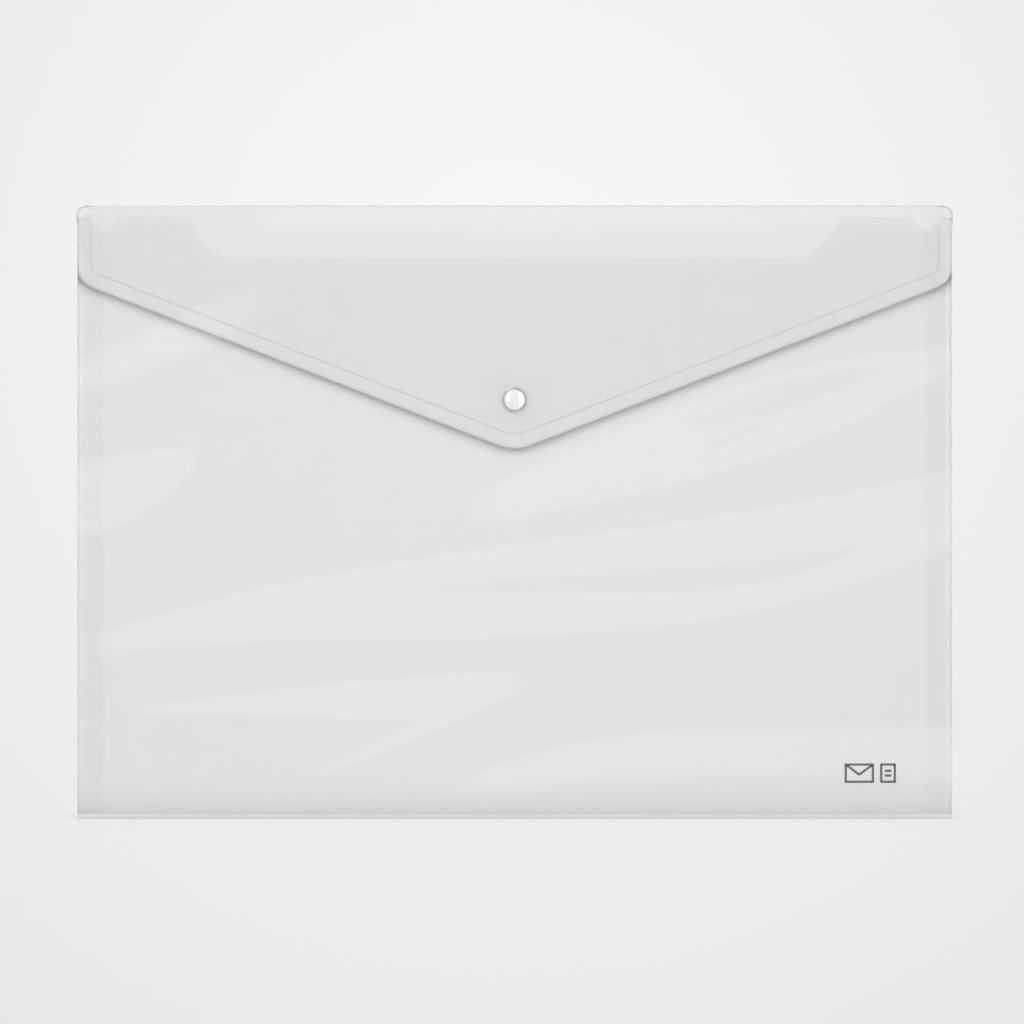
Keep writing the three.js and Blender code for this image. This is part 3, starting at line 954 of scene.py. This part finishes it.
def snap_material():
    """Clear moulded plastic: pale in the middle, with painted shade on the bevel, where the plastic bends
    the light away.
    """
    material, tree = new_material("snap_clear")
    place = add(tree, "ShaderNodeTexCoord").outputs["Object"]
    flow = noise(tree, place, SNAP_FLOW_SCALE, 2)
    flat = add(tree, "ShaderNodeVectorMath", {0: place, 1: (1, 0, 1)}, operation="MULTIPLY").outputs[0]
    from_axis = add(tree, "ShaderNodeVectorMath", {0: flat, 1: (0, 0, SNAP.z)}, operation="DISTANCE")
    radius = from_axis.outputs["Value"]
    bevel = ramp(tree, radius, DOME_EDGE - 0.2 * MM, DOME_EDGE + 0.2 * MM, 1.0, BEVEL_LEVEL)
    rim = ramp(tree, radius, DOME_EDGE + 0.5 * MM, CAP_HIGH.x, 1.0, RIM_LEVEL / BEVEL_LEVEL)
    swirl = maths(tree, "MULTIPLY", maths(tree, "SUBTRACT", flow, 0.5), SNAP_SWIRL)
    level = maths(tree, "ADD", maths(tree, "MULTIPLY", bevel, rim), swirl)
    inputs = {
        "Base Color": grey(tree, level, SNAP_TONE),
        "Roughness": ramp(tree, flow, *NOISE_SPAN, 0.06, 0.12),
        "IOR": PLASTIC_IOR,
        "Alpha": SNAP_ALPHA,
    }
    body = add(tree, "ShaderNodeBsdfPrincipled", inputs)
    add(tree, "ShaderNodeOutputMaterial", {"Surface": body.outputs[0]})
    return material


def ink_material():
    """Dark grey screen print, a little uneven."""
    material, tree = new_material("ink")
    place = add(tree, "ShaderNodeTexCoord").outputs["Object"]
    speckle = noise(tree, place, INK_SPECKLE_SCALE, 3)
    inputs = {
        "Base Color": grey(tree, ramp(tree, speckle, *NOISE_SPAN, 0.8, 1.2), INK_TONE),
        "Roughness": ramp(tree, speckle, *NOISE_SPAN, 0.45, 0.6),
    }
    body = add(tree, "ShaderNodeBsdfPrincipled", inputs)
    add(tree, "ShaderNodeOutputMaterial", {"Surface": body.outputs[0]})
    return material


# Stage

BACKDROP_CENTRE = (0.5, 0.707)  # brightest place of the backdrop, as shares of the picture
BACKDROP_MIDDLE = 0.9725        # display brightness there
BACKDROP_FALL = 0.0763          # brightness lost over one picture width
DISPLAY_POWER = 2.24            # from display brightness to linear light
SKY = 0.86                      # light from all round
FLOOR_GLOW = 0.8                # light from the floor
FLOOR_SHADE = 0.3               # how much darker it is where the wallet stands: a painted shadow
FLOOR_REACH = 60 * MM           # how far that painted shadow spreads
KEY_PLACE = (-0.45, -0.9, 1.1)  # of the key light,
KEY_SIZE = 0.5                  # how wide it is
KEY_POWER = 3.5                 # and how strong, in watts
LENS = 135                      # focal length and sensor width, in millimetres
SENSOR = 36
PICTURE_SHARE = 1.169           # the picture's width, in widths of the wallet
CAMERA_SHIFT = -0.003           # how far the camera stands to the right, in the same

# Softboxes that show only in reflections: (azimuth, elevation) of the middle, seen from the
# wallet, and (width, height), in degrees; azimuth is to the right of straight ahead. A
# squareness of 2 makes an ellipse, and more makes it fill its rectangle's corners.
Softbox = namedtuple("Softbox", "azimuth elevation width height squareness strength")
SOFTBOXES = (
    Softbox(azimuth=30, elevation=5, width=24, height=60, squareness=8, strength=6),
    Softbox(azimuth=-29, elevation=9, width=23, height=23, squareness=2, strength=6),
)


def backdrop_level(tree):
    """Linear brightness of the backdrop at a place in the picture."""
    window = add(tree, "ShaderNodeTexCoord").outputs["Window"]
    centre = (*BACKDROP_CENTRE, 0)
    apart = add(tree, "ShaderNodeVectorMath", {0: window, 1: centre}, operation="DISTANCE").outputs["Value"]
    shown = maths(tree, "SUBTRACT", BACKDROP_MIDDLE, maths(tree, "MULTIPLY", apart, BACKDROP_FALL))
    return maths(tree, "POWER", shown, DISPLAY_POWER)


def softbox_light(tree, direction, box):
    """Light from one softbox in a direction."""
    azimuth, elevation = math.radians(box.azimuth), math.radians(box.elevation)
    level = math.cos(elevation)
    middle = (math.sin(azimuth) * level, -math.cos(azimuth) * level, math.sin(elevation))
    right = (math.cos(azimuth), math.sin(azimuth), 0)
    up = tuple(Vector(right).cross(Vector(middle)) * -1)
    ahead, across, above = (
        add(tree, "ShaderNodeVectorMath", {0: direction, 1: axis}, operation="DOT_PRODUCT").outputs["Value"]
        for axis in (middle, right, up)
    )
    ahead = maths(tree, "MAXIMUM", ahead, 0.01)
    distance = 0.0
    for offset, size in ((across, box.width), (above, box.height)):
        reach = maths(tree, "MULTIPLY", ahead, math.tan(math.radians(size / 2)))
        share = maths(tree, "ABSOLUTE", maths(tree, "DIVIDE", offset, reach))
        distance = maths(tree, "ADD", maths(tree, "POWER", share, box.squareness), distance)
    return ramp(tree, distance, 0.7, 1.3, box.strength, 0.0)


def set_world():
    """The backdrop as the camera sees it, and a bright studio as the object sees it."""
    world = bpy.data.worlds.new("studio")
    world.use_nodes = True
    tree = world.node_tree
    tree.nodes.clear()
    white = (1, 1, 1, 1)
    seen = add(tree, "ShaderNodeBackground", {"Color": white, "Strength": backdrop_level(tree)})
    direction = add(tree, "ShaderNodeTexCoord").outputs["Generated"]
    up = add(tree, "ShaderNodeSeparateXYZ", {0: direction}).outputs[2]
    light = ramp(tree, up, -0.4, 0.7, 0.86 * SKY, 1.04 * SKY)
    paths = add(tree, "ShaderNodeLightPath").outputs
    boxes = 0.0
    for box in SOFTBOXES:
        boxes = maths(tree, "ADD", softbox_light(tree, direction, box), boxes)
    light = maths(tree, "ADD", light, maths(tree, "MULTIPLY", boxes, paths["Is Glossy Ray"]))
    felt = add(tree, "ShaderNodeBackground", {"Color": white, "Strength": light})
    inputs = {0: paths["Is Camera Ray"], 1: felt.outputs[0], 2: seen.outputs[0]}
    both = add(tree, "ShaderNodeMixShader", inputs)
    add(tree, "ShaderNodeOutputWorld", {"Surface": both.outputs[0]})
    bpy.context.scene.world = world


def make_floor():
    """A pale floor that takes the backdrop's tone, with a soft painted shadow where the wallet stands."""
    bpy.ops.mesh.primitive_plane_add(size=6)
    floor = bpy.context.object
    floor.name = "floor"
    material, tree = new_material("pale_floor")
    nearby = {"Distance": FLOOR_REACH}
    open_sky = add(tree, "ShaderNodeAmbientOcclusion", nearby, samples=12).outputs["AO"]
    place = add(tree, "ShaderNodeTexCoord").outputs["Object"]
    parts = add(tree, "ShaderNodeSeparateXYZ", {0: place}).outputs
    behind = ramp(tree, parts[1], -8 * MM, 6 * MM, 0.15, 1.0)
    shade = maths(tree, "MULTIPLY", ramp(tree, open_sky, 0.3, 1.0, FLOOR_SHADE, 0.0), behind)
    level = maths(tree, "MULTIPLY", backdrop_level(tree), maths(tree, "SUBTRACT", 1.0, shade))
    by_camera = add(tree, "ShaderNodeLightPath").outputs["Is Camera Ray"]
    choices = {0: by_camera, 2: FLOOR_GLOW, 3: level}
    strength = add(tree, "ShaderNodeMix", choices, data_type="FLOAT").outputs[0]
    glow = add(tree, "ShaderNodeEmission", {"Strength": strength})
    add(tree, "ShaderNodeOutputMaterial", {"Surface": glow.outputs[0]})
    floor.data.materials.append(material)
    floor.visible_glossy = False        # so that the softboxes show whole in the snap


def make_light():
    """A soft key light from above the camera's left shoulder."""
    data = bpy.data.lights.new("key", "AREA")
    data.shape = "DISK"
    data.size = KEY_SIZE
    data.energy = KEY_POWER
    light = bpy.data.objects.new("key", data)
    light.location = KEY_PLACE
    aim = Vector((0, 0, HEIGHT / 2)) - light.location
    light.rotation_euler = aim.to_track_quat("-Z", "Y").to_euler()
    bpy.context.scene.collection.objects.link(light)


def make_camera():
    """A long lens square on to the wallet, level with its middle."""
    data = bpy.data.cameras.new("camera")
    data.lens = LENS
    data.sensor_width = SENSOR
    picture_width = PICTURE_SHARE * 2 * HALF_WIDTH
    distance = picture_width * LENS / SENSOR
    camera = bpy.data.objects.new("camera", data)
    camera.location = (CAMERA_SHIFT * 2 * HALF_WIDTH, FLAP_Y - distance, HEIGHT / 2)
    camera.rotation_euler = (math.pi / 2, 0, 0)
    bpy.context.scene.collection.objects.link(camera)
    bpy.context.scene.camera = camera


def make_wallet():
    fold_film = film_material("film_side_fold", 0.09)
    bend_film = film_material("film_bend", 0.05, tone=BEND_TONE)
    bottom_film = film_material("film_bottom", 0.22)
    back_film = film_material("film_back", 0.34)
    front_film = film_material("film_front", 0.33, is_front=True)
    flap_film = film_material("film_flap", 0.2)
    edge = film_material("film_edge", 0.4, tone=EDGE_TONE)
    make_back(back_film, edge)
    make_side_fold("left_side_fold_film", "left_side_fold", -1, fold_film, edge)
    make_side_fold("right_side_fold_film", "right_side_fold", 1, fold_film, edge)
    make_bottom_fold(bottom_film, edge)
    make_front(front_film, edge)
    make_spine(bend_film, edge)
    make_crease("back_crease_film", ("back", "spine"), BACK_PIVOT, -1, bend_film, edge)
    make_crease("flap_crease_film", ("spine", "flap"), FLAP_PIVOT, 1, bend_film, edge)
    make_flap(flap_film, edge)
    make_print(ink_material())
    make_snap(snap_material())


make_wallet()
set_world()
make_floor()
make_light()
make_camera()
scene = bpy.context.scene
scene.view_settings.view_transform = "Standard"
scene.cycles.transparent_max_bounces = 64
scene.cycles.max_bounces = 4
scene.cycles.diffuse_bounces = 2
scene.cycles.glossy_bounces = 2
